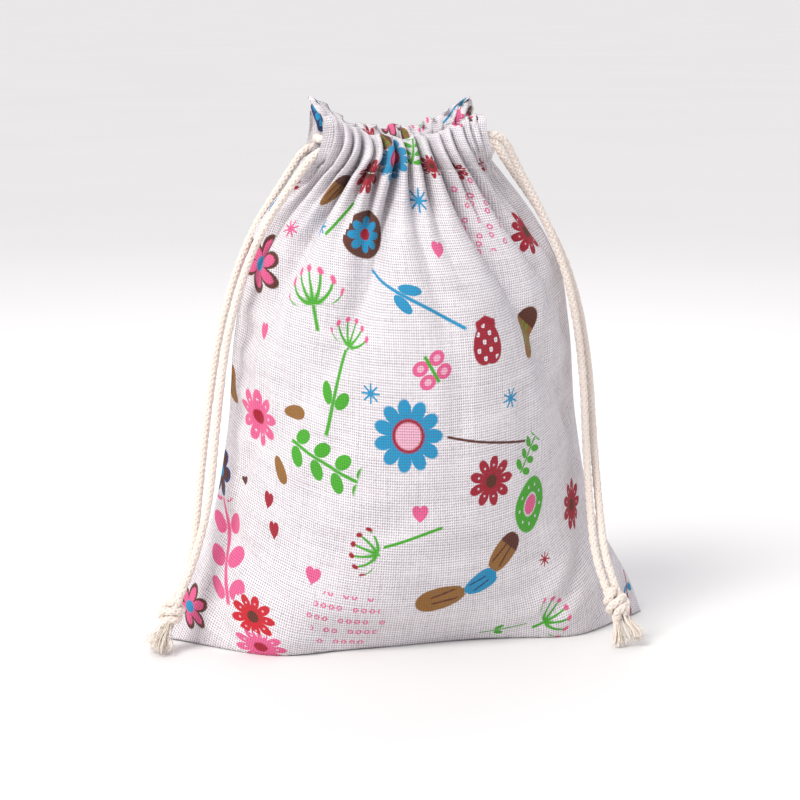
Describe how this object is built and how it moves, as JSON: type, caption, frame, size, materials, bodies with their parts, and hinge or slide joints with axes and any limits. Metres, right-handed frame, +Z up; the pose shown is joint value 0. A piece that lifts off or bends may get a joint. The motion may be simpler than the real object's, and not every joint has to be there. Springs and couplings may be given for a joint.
{
  "type": "drawstring gift pouch",
  "caption": "Upright soft cloth pouch with a gathered neck that draws shut by two knotted side cords, for wrapping small gifts.",
  "frame": {"origin": "middle of the flat base that the pouch stands on", "axes": "+Z up to the gathered neck, +X to the pouch's right seam, -Y to its front panel"},
  "size_m": [0.2034, 0.1087, 0.204],
  "materials": {
    "cloth": "coarse plain-woven printed cotton-linen",
    "cord": "soft braided cream cotton cord",
    "sewing_thread": "white cotton thread"
  },
  "bodies": {
    "pouch": {"front_panel": "cloth", "back_panel": "cloth", "front_hem_stitching": "sewing_thread", "back_hem_stitching": "sewing_thread", "left_side_seam": "cloth", "right_side_seam": "cloth", "left_seam_overlock": "sewing_thread", "right_seam_overlock": "sewing_thread", "left_bar_tack": "sewing_thread", "right_bar_tack": "sewing_thread", "bottom_seam": "cloth", "bottom_seam_overlock": "sewing_thread"},
    "left_neck": {"front_casing_left": "cloth", "back_casing_left": "cloth"},
    "right_neck": {"front_casing_right": "cloth", "back_casing_right": "cloth"},
    "left_cord": {"left_cord_loop": "cord"},
    "right_cord": {"right_cord_loop": "cord"},
    "left_tails": {"left_front_tail": "cord", "left_back_tail": "cord", "left_knot": "cord", "left_front_tassel": "cord", "left_back_tassel": "cord"},
    "right_tails": {"right_front_tail": "cord", "right_back_tail": "cord", "right_knot": "cord", "right_front_tassel": "cord", "right_back_tassel": "cord"}
  },
  "joints": [
    {"name": "left_cord_pull", "type": "slide", "parent": "pouch", "child": "left_cord", "axis": [-1, 0, 0], "range_m": [0, 0.01]},
    {"name": "right_cord_pull", "type": "slide", "parent": "pouch", "child": "right_cord", "axis": [1, 0, 0], "range_m": [0, 0.01]},
    {"name": "left_neck_gather", "type": "slide", "parent": "pouch", "child": "left_neck", "axis": [1, 0, 0], "range_m": [0, 0.01]},
    {"name": "right_neck_gather", "type": "slide", "parent": "pouch", "child": "right_neck", "axis": [-1, 0, 0], "range_m": [0, 0.01]},
    {"name": "left_tails_swing", "type": "hinge", "parent": "left_cord", "child": "left_tails", "pos_m": [-0.0445, 0, 0.1798], "axis": [0, 1, 0], "range_deg": [0, 80]},
    {"name": "right_tails_swing", "type": "hinge", "parent": "right_cord", "child": "right_tails", "pos_m": [0.0436, 0, 0.1826], "axis": [0, -1, 0], "range_deg": [0, 80]}
  ],
  "couplings": [
    {"joint": "right_cord_pull", "follows": "left_cord_pull", "ratio": 1},
    {"joint": "left_neck_gather", "follows": "left_cord_pull", "ratio": 1},
    {"joint": "right_neck_gather", "follows": "left_cord_pull", "ratio": 1}
  ]
}
